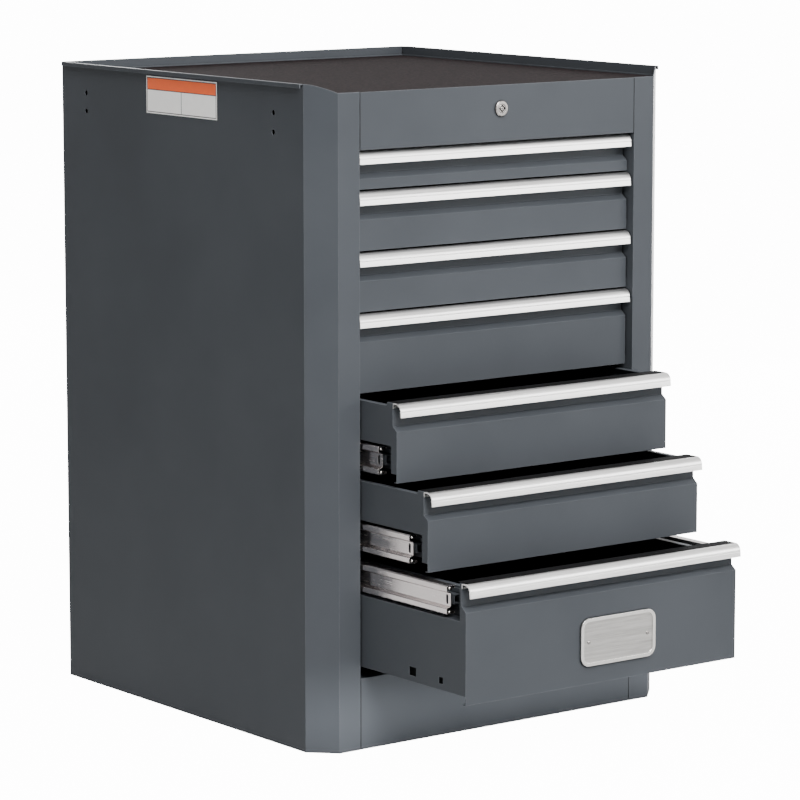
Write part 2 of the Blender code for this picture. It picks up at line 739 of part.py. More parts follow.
def lock_core():
    """Core drawn around its empty on the axis, with a ring keyway and its notch."""
    core = prism('lock_core', circle((0, 0), CORE_DIAMETER / 2), 'Y', 0, CORE_LENGTH)
    inner, outer = (diameter / 2 for diameter in KEYWAY_DIAMETERS)
    ring = [(inner, -OVERCUT), (outer, -OVERCUT), (outer, KEYWAY_DEPTH), (inner, KEYWAY_DEPTH)]
    cut(core, turned('keyway', ring, 0, 0))
    half = KEY_NOTCH_WIDTH / 2
    notch_low = (inner + outer) / 2
    low = (-half, -OVERCUT, notch_low)
    high = (half, KEYWAY_DEPTH / 2, outer + KEY_NOTCH_HEIGHT - half)
    cut(core, box('key_notch', low, high))
    smooth(core)
    return core


def lock_cam():
    """Plate behind the core, with the peg that moves the bar; the peg hangs down when unlocked."""
    front = CAM_FRONT - LOCK_FACE
    end_radius = PEG_DIAMETER
    outline = arc((0, 0), CAM_HUB_RADIUS, -20, 200, ROUND_STEPS // 2)
    outline += arc((0, -CAM_RADIUS), end_radius, 200, 340, ROUND_STEPS // 4)
    cam = prism('lock_cam', outline, 'Y', front, front + CAM_THICKNESS)
    peg_outline = circle((0, -CAM_RADIUS), PEG_DIAMETER / 2, ROUND_STEPS // 2)
    peg_start = front + CAM_THICKNESS / 2
    join(cam, prism('peg', peg_outline, 'Y', peg_start, front + CAM_THICKNESS + PEG_LENGTH))
    return cam


def lock_bar():
    """Flat bar across the cabinet with a leg beside the drawers and one finger for each drawer."""
    top = LOCK_AXIS + BAR_ABOVE_AXIS
    inner = OPENING_SIDE + BAR_LEG_OUTSET
    tip = inner - FINGER_LENGTH
    outline = [(-BAR_START, top), (-BAR_START, top - BAR_HEIGHT), (inner, top - BAR_HEIGHT)]
    for index in range(len(DRAWER_UNITS)):
        bottom, height, slide, deep = drawer_layout(index)
        middle = bottom + height - FINGER_DROP
        upper = middle + FINGER_HEIGHT / 2
        lower = middle - FINGER_HEIGHT / 2
        outline += [(inner, upper), (tip, upper), (tip, lower), (inner, lower)]
    end = lower - BAR_END_DROP
    outline += [(inner, end), (inner + BAR_LEG_WIDTH, end), (inner + BAR_LEG_WIDTH, top)]
    bar = prism('lock_bar', outline, 'Y', BAR_FRONT, BAR_FRONT + BAR_THICKNESS)
    half = PEG_DIAMETER / 2 + PEG_SLACK
    slot_low = LOCK_AXIS - CAM_RADIUS - PEG_DIAMETER / 2 - PEG_END_SLACK
    slot_high = LOCK_AXIS + PEG_DIAMETER / 2 + PEG_END_SLACK
    low = (-half, BAR_FRONT - OVERCUT, slot_low)
    cut(bar, box('slot', low, (half, BAR_FRONT + OVERCUT, slot_high)))
    return bar


def side_label():
    outer = -SIDE - GAP
    middle_y = FRONT + LABEL_DEPTH
    middle_z = CABINET_HEIGHT - LABEL_DROP
    low = (outer - LABEL_THICKNESS, middle_y - LABEL_WIDTH / 2, middle_z - LABEL_HEIGHT / 2)
    high = (outer, middle_y + LABEL_WIDTH / 2, middle_z + LABEL_HEIGHT / 2)
    return box('side_label', low, high)


# Assembly

for old in list(bpy.data.objects):
    bpy.data.objects.remove(old)

GREY_PAINT = finish('grey_paint', (92, 96, 101), 0.35, 0)
BLACK_RUBBER = finish('black_rubber', (48, 46, 46), 0.85, 0)
ALUMINIUM = finish('brushed_aluminium', (226, 226, 224), 0.3, 1)
ZINC_STEEL = finish('zinc_plated_steel', (190, 186, 184), 0.25, 1)
CHROME = finish('chrome', (214, 214, 214), 0.12, 1)
PRINTED_LABEL = finish('label_film', (225, 222, 214), 0.4, 0)

painted = [
    side_panel('left_side_panel', -1),
    side_panel('right_side_panel', 1),
    back_panel(),
    bottom_pan(),
    lock_rail(),
    kick_panel(),
    top_tray(),
]
for piece in painted:
    paint(piece, GREY_PAINT)
paint(top_mat(), BLACK_RUBBER)
paint(side_label(), PRINTED_LABEL)
for rack_name, rack_side in (('left_slide_rack', -1), ('right_slide_rack', 1)):
    paint(slide_rack(rack_name, rack_side), ZINC_STEEL)

for number, opening in enumerate(DRAWER_OPENINGS, start=1):
    order = number - 1
    place = (0, FACE - opening, drawer_layout(order)[0])
    drawer = place_empty(f'drawer_{number}_place', place)
    slides = place_empty(f'drawer_{number}_slides_place', place)
    pieces = [
        (drawer_box(f'drawer_{number}_box', order), GREY_PAINT, drawer),
        (drawer_pull(f'drawer_{number}_pull', order), ALUMINIUM, drawer),
        (drawer_liner(f'drawer_{number}_liner', order), BLACK_RUBBER, drawer),
        (middle_member(f'drawer_{number}_slide_left', order, -1), ZINC_STEEL, slides),
        (middle_member(f'drawer_{number}_slide_right', order, 1), ZINC_STEEL, slides),
    ]
    if number == len(DRAWER_UNITS):
        pieces.append((badge(f'drawer_{number}_badge'), CHROME, drawer))
    for piece, material, carrier in pieces:
        paint(piece, material)
        piece.parent = carrier

lock_place = place_empty('lock_place', (0, LOCK_FACE, LOCK_AXIS))
for piece in (lock_core(), lock_cam()):
    paint(piece, CHROME)
    piece.parent = lock_place
for piece in (lock_housing(), lock_nut()):
    paint(piece, CHROME)
paint(lock_bar(), ZINC_STEEL)
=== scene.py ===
"""Looks of the seven-drawer tool cabinet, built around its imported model.

Metres, +Z up, the front faces -Y. Each section below finishes one kind of piece, in the order in
which the cabinet goes together.
"""
import math

import bmesh
import bpy
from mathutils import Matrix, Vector


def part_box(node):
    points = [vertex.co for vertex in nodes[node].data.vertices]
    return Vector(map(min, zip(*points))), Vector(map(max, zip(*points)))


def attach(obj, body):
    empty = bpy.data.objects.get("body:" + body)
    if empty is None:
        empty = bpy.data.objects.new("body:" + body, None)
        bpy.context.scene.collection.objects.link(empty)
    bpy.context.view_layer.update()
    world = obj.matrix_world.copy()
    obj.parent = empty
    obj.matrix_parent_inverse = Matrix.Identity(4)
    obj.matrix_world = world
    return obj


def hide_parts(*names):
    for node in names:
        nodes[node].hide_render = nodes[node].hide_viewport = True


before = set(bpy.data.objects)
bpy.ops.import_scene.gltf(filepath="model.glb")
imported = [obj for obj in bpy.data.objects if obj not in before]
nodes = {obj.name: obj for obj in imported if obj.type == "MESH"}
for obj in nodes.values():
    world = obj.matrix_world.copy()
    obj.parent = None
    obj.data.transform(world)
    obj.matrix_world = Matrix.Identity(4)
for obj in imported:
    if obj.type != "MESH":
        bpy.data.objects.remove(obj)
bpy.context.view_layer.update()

collection = bpy.context.scene.collection


# ---- Studio ----------------------------------------------------------------------------------
# The camera looks at the cabinet's front left corner. A pale floor runs into a white surround.
# Large soft lights stand above, in front, on the right and behind, and a narrow one lights the
# kick panel below the open drawers.

camera = bpy.data.objects.new("camera", bpy.data.cameras.new("camera"))
collection.objects.link(camera)
CAMERA_LENS = 169.4
CAMERA_SENSOR = 36.0
CAMERA_PLACE = (-3.2357, -4.3344, 1.2579)
camera.data.lens = CAMERA_LENS
camera.data.sensor_width = CAMERA_SENSOR
camera.location = CAMERA_PLACE
camera_aim = Vector((0.0663, 0.0, 0.4165))
camera.rotation_mode = "QUATERNION"
camera.rotation_quaternion = (camera_aim - camera.location).to_track_quat("-Z", "Y")
bpy.context.scene.camera = camera

cabinet_middle = Vector((0.0, 0.0, 0.45))


def soft_light(name, azimuth, elevation, distance, size, power, aim=cabinet_middle, spread=180):
    """A soft box on a sphere around its aim; azimuth 0 is in front and grows to the right."""
    turn = math.radians(azimuth)
    lift = math.radians(elevation)
    away = Vector((math.sin(turn) * math.cos(lift), -math.cos(turn) * math.cos(lift), math.sin(lift)))
    lamp = bpy.data.lights.new(name, "AREA")
    lamp.shape = "RECTANGLE"
    lamp.size, lamp.size_y = size
    lamp.energy = power
    lamp.spread = math.radians(spread)
    made = bpy.data.objects.new(name, lamp)
    collection.objects.link(made)
    made.location = aim + away * distance
    made.visible_camera = False
    made.rotation_mode = "QUATERNION"
    made.rotation_quaternion = (-away).to_track_quat("-Z", "Y")


soft_light("overhead_front", -14, 58, 5.5, (3.0, 1.8), 265.0)
soft_light("front_fill", -16, 36, 5.0, (2.4, 1.0), 368.0)
soft_light("right_card", 42, 12, 4.0, (2.4, 1.4), 62.0)
soft_light("back_fill", 165, 10, 4.5, (2.4, 1.6), 100.0)
soft_light("right_rim", 120, 2, 3.5, (0.7, 2.4), 90.0)
kick_middle = Vector((0.0, -0.315, 0.045))
soft_light("kick_strip", 0, 2, 0.6, (0.8, 0.03), 0.5, aim=kick_middle, spread=16)

AMBIENT = 0.2
MIRRORED = 1.2
SEEN = 14.0
world = bpy.data.worlds.new("studio_air")
world.use_nodes = True
bpy.context.scene.world = world
air = world.node_tree
rays = air.nodes.new("ShaderNodeLightPath")
mirrored_share = air.nodes.new("ShaderNodeMath")
mirrored_share.operation = "MULTIPLY_ADD"
mirrored_share.inputs[1].default_value = MIRRORED - AMBIENT
mirrored_share.inputs[2].default_value = AMBIENT
air.links.new(rays.outputs["Is Glossy Ray"], mirrored_share.inputs[0])
seen_share = air.nodes.new("ShaderNodeMath")
seen_share.operation = "MULTIPLY_ADD"
seen_share.inputs[1].default_value = SEEN
air.links.new(rays.outputs["Is Camera Ray"], seen_share.inputs[0])
air.links.new(mirrored_share.outputs[0], seen_share.inputs[2])
air.links.new(seen_share.outputs[0], air.nodes["Background"].inputs["Strength"])
air.nodes["Background"].inputs["Color"].default_value = (1.0, 1.0, 1.0, 1.0)

FLOOR_REACH = 14.0
FLOOR_GLOW = 20.0
FLOOR_GLOW_SHARE = 0.7
floor_mesh = bpy.data.meshes.new("studio_floor")
floor_corners = [(-FLOOR_REACH, -FLOOR_REACH, 0), (FLOOR_REACH, -FLOOR_REACH, 0),
                 (FLOOR_REACH, FLOOR_REACH, 0), (-FLOOR_REACH, FLOOR_REACH, 0)]
floor_mesh.from_pydata(floor_corners, [], [(0, 1, 2, 3)])
floor = bpy.data.objects.new("studio_floor", floor_mesh)
collection.objects.link(floor)
floor_paint = bpy.data.materials.new("pale_floor")
floor_paint.use_nodes = True
floor_tree = floor_paint.node_tree
floor_shader = floor_tree.nodes["Principled BSDF"]
floor_shader.inputs["Base Color"].default_value = (0.6, 0.6, 0.6, 1.0)
floor_shader.inputs["Roughness"].default_value = 0.9
floor_glow = floor_tree.nodes.new("ShaderNodeEmission")
floor_glow.inputs["Strength"].default_value = FLOOR_GLOW
floor_rays = floor_tree.nodes.new("ShaderNodeLightPath")
floor_share = floor_tree.nodes.new("ShaderNodeMath")
floor_share.operation = "MULTIPLY"
floor_share.inputs[1].default_value = FLOOR_GLOW_SHARE
floor_tree.links.new(floor_rays.outputs["Is Camera Ray"], floor_share.inputs[0])
floor_mix = floor_tree.nodes.new("ShaderNodeMixShader")
floor_tree.links.new(floor_share.outputs[0], floor_mix.inputs["Fac"])
floor_tree.links.new(floor_shader.outputs[0], floor_mix.inputs[1])
floor_tree.links.new(floor_glow.outputs[0], floor_mix.inputs[2])
floor_tree.links.new(floor_mix.outputs[0], floor_tree.nodes["Material Output"].inputs["Surface"])
floor.data.materials.append(floor_paint)


# ---- Welded body -----------------------------------------------------------------------------
# The two side panels, the back, the pan, the kick panel, the lock rail and the tray are 1.2 mm
# steel, cut and folded on a press brake, spot welded, then powder coated as one body. The coat
# is a satin dark grey with a faint orange peel, lighter on the folds as rubbed wear and as a
# painted highlight, and darkened by painted shade in joints and inner folds.

def group_input(tree, name, kind, value):
    socket = tree.interface.new_socket(name, in_out="INPUT", socket_type=kind)
    socket.default_value = value


def group_output(tree, name, kind):
    tree.interface.new_socket(name, in_out="OUTPUT", socket_type=kind)


def noise(tree, vector, scale, detail, roughness):
    made = tree.nodes.new("ShaderNodeTexNoise")
    made.inputs["Detail"].default_value = detail
    made.inputs["Roughness"].default_value = roughness
    if isinstance(scale, float):
        made.inputs["Scale"].default_value = scale
    else:
        tree.links.new(scale, made.inputs["Scale"])
    tree.links.new(vector, made.inputs["Vector"])
    return made.outputs["Fac"]


def math_node(tree, operation, first, second):
    made = tree.nodes.new("ShaderNodeMath")
    made.operation = operation
    for socket, value in zip(made.inputs, (first, second)):
        if isinstance(value, (int, float)):
            socket.default_value = value
        else:
            tree.links.new(value, socket)
    return made.outputs[0]


def span(tree, value, low, high, to_low, to_high):
    """Map a value from one range to another."""
    made = tree.nodes.new("ShaderNodeMapRange")
    for name, number in (("From Min", low), ("From Max", high), ("To Min", to_low), ("To Max", to_high)):
        if isinstance(number, (int, float)):
            made.inputs[name].default_value = number
        else:
            tree.links.new(number, made.inputs[name])
    tree.links.new(value, made.inputs["Value"])
    return made.outputs["Result"]


def mix_colour(tree, share, first, second):
    made = tree.nodes.new("ShaderNodeMix")
    made.data_type = "RGBA"
    tree.links.new(share, made.inputs["Factor"])
    for socket, value in ((made.inputs[6], first), (made.inputs[7], second)):
        if isinstance(value, tuple):
            socket.default_value = value
        else:
            tree.links.new(value, socket)
    return made.outputs[2]


def display(red, green, blue):
    """An 8-bit display colour as the shader's linear colour."""
    return tuple(((value / 255 + 0.055) / 1.055) ** 2.4 for value in (red, green, blue)) + (1.0,)


def surface_group(name):
    """A new group with the surface's own coordinates ready for use."""
    tree = bpy.data.node_groups.new(name, "ShaderNodeTree")
    entry = tree.nodes.new("NodeGroupInput")
    leave = tree.nodes.new("NodeGroupOutput")
    place = tree.nodes.new("ShaderNodeTexCoord").outputs["Object"]
    return tree, entry, leave, place


def make_fold_wear_and_sheen():
    """Sharp turns of the surface: a noise-broken mask of rubbed wear and painted highlight on folds and
    cut edges.
    """
    tree, entry, leave, place = surface_group("fold_wear_and_sheen")
    group_input(tree, "Radius", "NodeSocketFloat", 0.001)
    group_input(tree, "Amount", "NodeSocketFloat", 0.5)
    group_output(tree, "Mask", "NodeSocketFloat")
    soft = tree.nodes.new("ShaderNodeBevel")
    soft.samples = 4
    tree.links.new(entry.outputs["Radius"], soft.inputs["Radius"])
    flat = tree.nodes.new("ShaderNodeNewGeometry")
    turn = tree.nodes.new("ShaderNodeVectorMath")
    turn.operation = "DOT_PRODUCT"
    tree.links.new(soft.outputs["Normal"], turn.inputs[0])
    tree.links.new(flat.outputs["Normal"], turn.inputs[1])
    edge = span(tree, turn.outputs["Value"], 0.995, 0.86, 0.0, 1.0)
    broken = span(tree, noise(tree, place, 55.0, 4.0, 0.6), 0.35, 0.65, 0.35, 1.0)
    worn_and_lit = math_node(tree, "MULTIPLY", edge, broken)
    mask = math_node(tree, "MULTIPLY", worn_and_lit, entry.outputs["Amount"])
    tree.links.new(mask, leave.inputs["Mask"])
    return tree


def make_peel():
    """Orange peel of a sprayed coat: a fine height, a slow tone change and a gloss change."""
    tree, entry, leave, place = surface_group("coat_peel")
    group_input(tree, "Peel Scale", "NodeSocketFloat", 420.0)
    group_output(tree, "Height", "NodeSocketFloat")
    group_output(tree, "Tone", "NodeSocketFloat")
    group_output(tree, "Gloss", "NodeSocketFloat")
    peel = noise(tree, place, entry.outputs["Peel Scale"], 2.0, 0.45)
    slow = noise(tree, place, 5.0, 3.0, 0.55)
    fine = noise(tree, place, 1600.0, 1.0, 0.5)
    slow_part = math_node(tree, "MULTIPLY", slow, 0.7)
    fine_part = math_node(tree, "MULTIPLY", fine, 0.3)
    tone = math_node(tree, "ADD", slow_part, fine_part)
    tree.links.new(peel, leave.inputs["Height"])
    tree.links.new(tone, leave.inputs["Tone"])
    tree.links.new(slow, leave.inputs["Gloss"])
    return tree


def make_joint_shade():
    """How shut in the surface is: the mask for painted shade in joints and inner folds."""
    tree, entry, leave, place = surface_group("joint_shade")
    group_input(tree, "Reach", "NodeSocketFloat", 0.004)
    group_output(tree, "Mask", "NodeSocketFloat")
    closed = tree.nodes.new("ShaderNodeAmbientOcclusion")
    closed.samples = 6
    tree.links.new(entry.outputs["Reach"], closed.inputs["Distance"])
    uneven = span(tree, noise(tree, place, 40.0, 3.0, 0.6), 0.3, 0.7, 0.75, 1.0)
    mask = math_node(tree, "MULTIPLY", span(tree, closed.outputs["AO"], 0.82, 0.4, 0.0, 1.0), uneven)
    tree.links.new(mask, leave.inputs["Mask"])
    return tree


fold_wear_and_sheen = make_fold_wear_and_sheen()
joint_shade = make_joint_shade()
coat_peel = make_peel()


def new_material(name):
    material = bpy.data.materials.new(name)
    material.use_nodes = True
    tree = material.node_tree
    return material, tree, tree.nodes["Principled BSDF"]


def use_group(tree, group, **values):
    placed = tree.nodes.new("ShaderNodeGroup")
    placed.node_tree = group
    for name, value in values.items():
        placed.inputs[name.replace("_", " ")].default_value = value
    return placed.outputs


def raise_bump(tree, shader, height, distance, strength=1.0):
    bump = tree.nodes.new("ShaderNodeBump")
    bump.inputs["Distance"].default_value = distance
    bump.inputs["Strength"].default_value = strength
    tree.links.new(height, bump.inputs["Height"])
    tree.links.new(bump.outputs["Normal"], shader.inputs["Normal"])


# Near black of the painted shade in joints, inner folds and the seams at the panel ends.
PAINTED_JOINT_SHADE = display(20, 21, 22)


def coat_material(name, dark, light, worn_and_lit, joint_at=None):
    """The powder coat with painted joint shade; past joint_at left and right it turns to painted seam
    shade.
    """
    material, tree, shader = new_material(name)
    peel = use_group(tree, coat_peel, Peel_Scale=420.0)
    # Folds and cut edges turn lighter: partly rubbed wear, partly a painted highlight along the bends.
    wear_and_sheen = use_group(tree, fold_wear_and_sheen, Radius=0.0014, Amount=0.45)
    shut = use_group(tree, joint_shade, Reach=0.004)
    tone = span(tree, peel["Tone"], 0.35, 0.65, 0.0, 1.0)
    coat = mix_colour(tree, tone, dark, light)
    # Shut-in spots, and with joint_at the strips at both ends, are darkened by painted shade.
    painted_shade = shut["Mask"]
    if joint_at:
        parts = tree.nodes.new("ShaderNodeSeparateXYZ")
        tree.links.new(tree.nodes.new("ShaderNodeTexCoord").outputs["Object"], parts.inputs["Vector"])
        across = math_node(tree, "ABSOLUTE", parts.outputs["X"], 0.0)
        painted_shade = math_node(tree, "MAXIMUM", painted_shade, math_node(tree, "GREATER_THAN", across, joint_at))
    rubbed_and_lit = math_node(tree, "MULTIPLY", wear_and_sheen["Mask"], math_node(tree, "SUBTRACT", 1.0, painted_shade))
    open_coat = mix_colour(tree, rubbed_and_lit, coat, worn_and_lit)
    tree.links.new(mix_colour(tree, painted_shade, open_coat, PAINTED_JOINT_SHADE), shader.inputs["Base Color"])
    tree.links.new(span(tree, peel["Gloss"], 0.3, 0.7, 0.38, 0.46), shader.inputs["Roughness"])
    shader.inputs["Specular IOR Level"].default_value = 0.12
    raise_bump(tree, shader, peel["Height"], 0.00006, 0.35)
    return material


# Dark and light coat tones, then the lighter fold tone: rubbed wear and a painted highlight.
COAT_TONES = (display(56, 59, 63), display(62, 65, 69), display(118, 121, 126))
JOINT_WIDTH = 0.0012
body_coat = coat_material("powder_coat_grey", *COAT_TONES)
# The lock rail and kick panel carry a painted shade line JOINT_WIDTH wide at both ends.
panel_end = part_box("lock_rail")[1][0] - JOINT_WIDTH
panel_coat = coat_material("powder_coat_panel", *COAT_TONES, joint_at=panel_end)


def dress(name, material, edge=0.0004, segments=2):
    """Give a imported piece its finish, and the small radius that every cut and fold has."""
    piece = nodes[name]
    piece.data.materials.clear()
    piece.data.materials.append(material)
    piece.data.shade_smooth()
    weld = piece.modifiers.new("weld", "WELD")
    weld.merge_threshold = 0.00001
    flats = piece.modifiers.new("flats", "DECIMATE")
    flats.decimate_type = "DISSOLVE"
    flats.angle_limit = math.radians(0.5)
    if edge:
        radius = piece.modifiers.new("edge_radius", "BEVEL")
        radius.width = edge
        radius.segments = segments
        radius.limit_method = "ANGLE"
        radius.angle_limit = math.radians(30)
        radius.harden_normals = False
    shade = piece.modifiers.new("shade", "WEIGHTED_NORMAL")
    shade.keep_sharp = False
    shade.weight = 100
    return piece


for name in ("left_side_panel", "right_side_panel", "back_panel", "bottom_pan", "top_tray"):
    dress(name, body_coat)
for name in ("lock_rail", "kick_panel"):
    dress(name, panel_coat)


# ---- Slide racks -----------------------------------------------------------------------------
# Inner walls of bright zinc-plated steel, with the outer member of each telescopic slide welded
# on. The plating has a faint crystal pattern and rolling marks along its length.

def make_plating():
    """Zinc plate: soft crystal patches and fine marks along Y from the rolling."""
    tree, entry, leave, place = surface_group("zinc_plate")
    group_output(tree, "Tone", "NodeSocketFloat")
    group_output(tree, "Height", "NodeSocketFloat")
    cells = tree.nodes.new("ShaderNodeTexVoronoi")
    cells.inputs["Scale"].default_value = 140.0
    tree.links.new(place, cells.inputs["Vector"])
    grey = tree.nodes.new("ShaderNodeSeparateColor")
    tree.links.new(cells.outputs["Color"], grey.inputs["Color"])
    stretch = tree.nodes.new("ShaderNodeMapping")
    stretch.inputs["Scale"].default_value = (700.0, 4.0, 700.0)
    tree.links.new(place, stretch.inputs["Vector"])
    lines = noise(tree, stretch.outputs["Vector"], 1.0, 2.0, 0.5)
    tone = math_node(tree, "ADD", math_node(tree, "MULTIPLY", grey.outputs["Red"], 0.2),
                     math_node(tree, "MULTIPLY", lines, 0.8))
    tree.links.new(tone, leave.inputs["Tone"])
    tree.links.new(lines, leave.inputs["Height"])
    return tree


zinc_plate = make_plating()


def plated_material(name, dark, light):
    material, tree, shader = new_material(name)
    plate = use_group(tree, zinc_plate)
    shader.inputs["Metallic"].default_value = 1.0
    tree.links.new(mix_colour(tree, plate["Tone"], dark, light), shader.inputs["Base Color"])
    tree.links.new(span(tree, plate["Tone"], 0.3, 0.7, 0.16, 0.28), shader.inputs["Roughness"])
    raise_bump(tree, shader, plate["Height"], 0.00001, 0.12)
    return material


bright_zinc = plated_material("bright_zinc", display(212, 204, 202), display(240, 234, 232))
for name in ("left_slide_rack", "right_slide_rack", "lock_bar"):
    dress(name, bright_zinc, edge=0.0003)


# ---- Lock ------------------------------------------------------------------------------------
# A cylinder lock in nickel-chrome plated zinc: bezel, plug with a diamond key recess round a
# post, nut behind the rail, and the cam that moves the lock bar.

def chrome_material(name, dark, light):
    material, tree, shader = new_material(name)
    place = tree.nodes.new("ShaderNodeTexCoord").outputs["Object"]
    shader.inputs["Metallic"].default_value = 1.0
    smudge = noise(tree, place, 160.0, 4.0, 0.6)
    tree.links.new(mix_colour(tree, smudge, dark, light), shader.inputs["Base Color"])
    tree.links.new(span(tree, smudge, 0.3, 0.7, 0.12, 0.26), shader.inputs["Roughness"])
    raise_bump(tree, shader, smudge, 0.00001, 0.3)
    return material


lock_chrome = chrome_material("nickel_chrome", display(126, 123, 121), display(160, 156, 153))
for name in ("lock_housing", "lock_nut", "lock_cam"):
    dress(name, lock_chrome, edge=0.0003)

CORE_STEPS = 48
CORE_RIM = 0.0003
KEY_RECESS = 0.0056
KEY_RECESS_DEPTH = 0.0026
KEY_POST = 0.0028
KEY_POST_HOLE = 0.0008
KEY_HOLE_DEPTH = 0.0015


def round_ring(radius):
    return lambda angle: radius


def diamond_ring(reach):
    return lambda angle: reach / (abs(math.cos(angle)) + abs(math.sin(angle)))


def ringed_piece(name, rings, centre, material):
    """A closed piece around an axis along Y, skinned over rings of (radius rule, y, slot)."""
    shape = bmesh.new()
    loops = []
    for rule, depth, _ in rings:
        loop = []
        for step in range(CORE_STEPS):
            angle = math.tau * step / CORE_STEPS
            reach = rule(angle)
            loop.append(shape.verts.new((
                centre[0] + reach * math.cos(angle), depth, centre[1] + reach * math.sin(angle))))
        loops.append(loop)
    for index in range(1, len(loops)):
        for step in range(CORE_STEPS):
            after = (step + 1) % CORE_STEPS
            near, far = loops[index - 1], loops[index]
            face = shape.faces.new((near[step], far[step], far[after], near[after]))
            face.material_index = rings[index][2]
    shape.faces.new(loops[0])
    shape.faces.new(loops[-1]).material_index = rings[-1][2]
    bmesh.ops.recalc_face_normals(shape, faces=shape.faces)
    mesh = bpy.data.meshes.new(name)
    shape.to_mesh(mesh)
    shape.free()
    mesh.materials.append(material)
    made = bpy.data.objects.new(name, mesh)
    collection.objects.link(made)
    return made


# The key recess's walls and floor are near black: painted shade of the deep keyway.
lock_shade = chrome_material("keyway_shade", display(8, 8, 8), display(16, 15, 15))
core_low, core_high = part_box("lock_core")
core_radius = (core_high[0] - core_low[0]) / 2
face = core_low[1]
core = ringed_piece("lock_plug", [
    (round_ring(core_radius), core_high[1], 0),
    (round_ring(core_radius), face + CORE_RIM, 0),
    (round_ring(core_radius - CORE_RIM), face, 0),
    (diamond_ring(KEY_RECESS), face, 0),
    (diamond_ring(KEY_RECESS), face + KEY_RECESS_DEPTH, 1),
    (round_ring(KEY_POST), face + KEY_RECESS_DEPTH, 1),
    (round_ring(KEY_POST), face + CORE_RIM, 1),
    (round_ring(KEY_POST - CORE_RIM), face, 0),
    (round_ring(KEY_POST_HOLE), face, 0),
    (round_ring(KEY_POST_HOLE), face + KEY_HOLE_DEPTH, 1),
], ((core_low[0] + core_high[0]) / 2, (core_low[2] + core_high[2]) / 2), lock_chrome)
core.data.materials.append(lock_shade)
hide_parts("lock_core")
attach(core, "lock_cylinder")


# ---- Top mat ---------------------------------------------------------------------------------
# Black moulded rubber with a fine pebbled face, cut to lie inside the tray's raised edges.

def make_pebble():
    """Fine pebbled face of moulded rubber, with a dry tone between the grains."""
    tree, entry, leave, place = surface_group("pebbled_face")
    group_input(tree, "Grain Scale", "NodeSocketFloat", 320.0)
    group_output(tree, "Height", "NodeSocketFloat")
    group_output(tree, "Tone", "NodeSocketFloat")
    grains = tree.nodes.new("ShaderNodeTexVoronoi")
    tree.links.new(entry.outputs["Grain Scale"], grains.inputs["Scale"])
    tree.links.new(place, grains.inputs["Vector"])
    speckle = noise(tree, place, entry.outputs["Grain Scale"], 3.0, 0.7)
    tree.links.new(math_node(tree, "SUBTRACT", 1.0, grains.outputs["Distance"]), leave.inputs["Height"])
    mottle = math_node(tree, "MULTIPLY", speckle, 0.75)
    grain = math_node(tree, "MULTIPLY", grains.outputs["Distance"], 0.25)
    tree.links.new(math_node(tree, "ADD", mottle, grain), leave.inputs["Tone"])
    return tree


pebbled_face = make_pebble()


def rubber_material(name, dark, light, grain):
    material, tree, shader = new_material(name)
    face = use_group(tree, pebbled_face, Grain_Scale=grain)
    tone = span(tree, face["Tone"], 0.38, 0.62, 0.0, 1.0)
    tree.links.new(mix_colour(tree, tone, dark, light), shader.inputs["Base Color"])
    tree.links.new(span(tree, face["Tone"], 0.2, 0.8, 0.72, 0.88), shader.inputs["Roughness"])
    shader.inputs["Specular IOR Level"].default_value = 0.03
    raise_bump(tree, shader, face["Height"], 0.0006, 0.8)
    return material


mat_rubber = rubber_material("mat_rubber", display(1, 1, 1), display(36, 28, 29), 200.0)
dress("top_mat", mat_rubber, edge=0.0005)


# ---- Drawer boxes ----------------------------------------------------------------------------
# Folded and welded boxes of the same coated steel. The double-skin front carries the pull in a
# recess, and the walls step in beside the slides, whose inner members are welded on.

numbers = range(1, 8)
for number in numbers:
    dress(f"drawer_{number}_box", body_coat, edge=0.0004)


# ---- Drawer liners ---------------------------------------------------------------------------
# A thin black foam rubber sheet with a fine pebbled face, cut to each drawer's floor. It lies
# loose in the drawer.

liner_rubber = rubber_material("liner_rubber", display(26, 27, 28), display(42, 43, 44), 420.0)
for number in numbers:
    dress(f"drawer_{number}_liner", liner_rubber, edge=0.0003)


# ---- Pulls -----------------------------------------------------------------------------------
# One aluminium extrusion as wide as the drawer, brushed along its length: a short leg in the
# recess, a top plate, a round nose and a straight lip with a fine crease between the two.

PULL_WALL = 0.0016
PULL_LEG = 0.007
PULL_NOSE = 0.0105
PULL_CREASE = 0.00035
PULL_CREASE_STEP = 0.0004
PULL_LIP_LEAN = 0.0006
PULL_BEND = 0.001
PULL_LIP = 0.018
NOSE_STEPS = 18


def arc_points(centre, radius, start, end, steps):
    points = []
    for step in range(steps + 1):
        angle = math.radians(start + (end - start) * step / steps)
        points.append((centre[0] + radius * math.cos(angle), centre[1] + radius * math.sin(angle)))
    return points


def sheet_outline(path, wall):
    """Closed outline of a sheet with one face on the path and its body on the path's left."""
    moved = []
    for index, point in enumerate(path):
        sides = []
        for one, two in ((index - 1, index), (index, index + 1)):
            if 0 <= one and two < len(path):
                along = Vector(path[two]) - Vector(path[one])
                sides.append(Vector((-along.y, along.x)).normalized())
        first, second = sides[0], sides[-1]
        reach = wall / (1 + first.dot(second))
        moved.append(tuple(Vector(point) + (first + second) * reach))
    return list(path) + moved[::-1]


